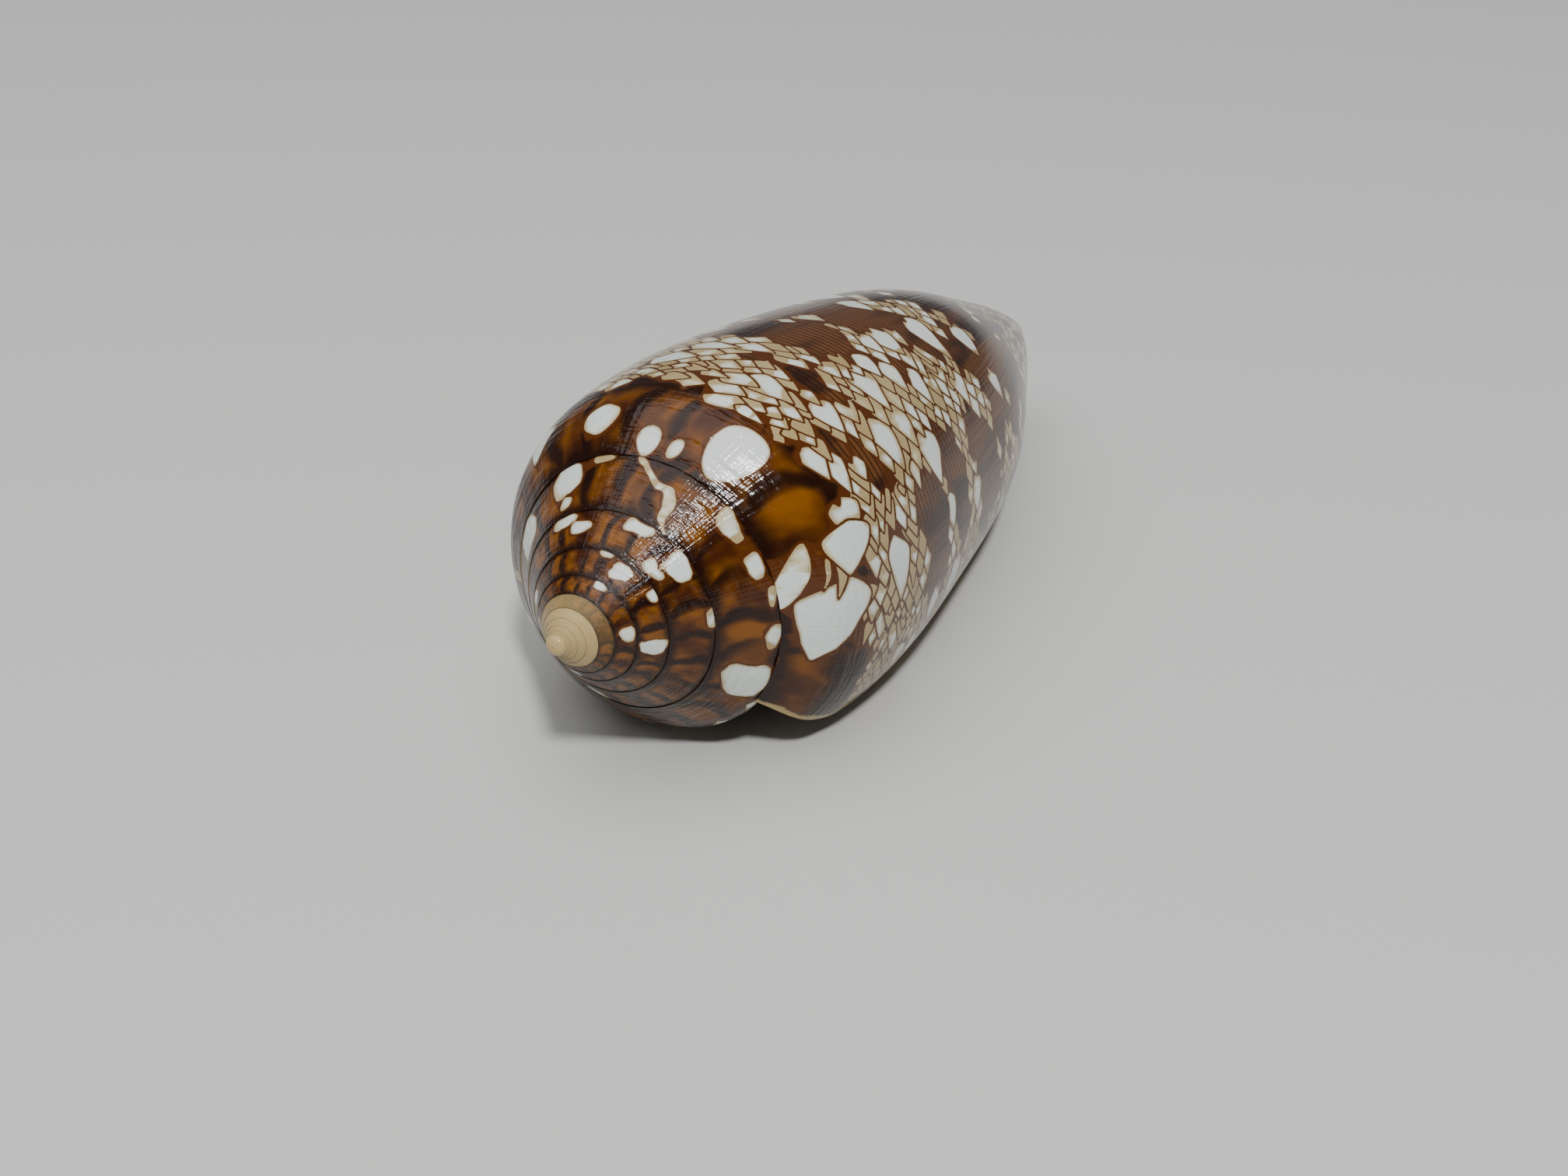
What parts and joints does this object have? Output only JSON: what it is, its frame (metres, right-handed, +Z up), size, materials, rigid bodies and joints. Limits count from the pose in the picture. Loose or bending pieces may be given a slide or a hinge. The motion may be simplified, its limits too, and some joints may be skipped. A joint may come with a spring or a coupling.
{
  "type": "cone shell",
  "caption": "Glossy cone-shaped sea shell with a pointed spire and a long narrow opening, patterned with brown-edged white tents, lying on its opening.",
  "frame": {"origin": "middle of the shell's bounding box on the surface that it lies on", "axes": "+Z up; the shell's coiling axis lies over the X axis with the apex at -X, raised a little, and the front end at +X; the lip is low on the -Y side"},
  "size_m": [0.0496, 0.0184, 0.0171],
  "materials": {
    "shell": "glossy natural glaze, white with brown network lines and amber to dark red-brown patches"
  },
  "bodies": {
    "root": {"shell": "shell"}
  },
  "joints": []
}
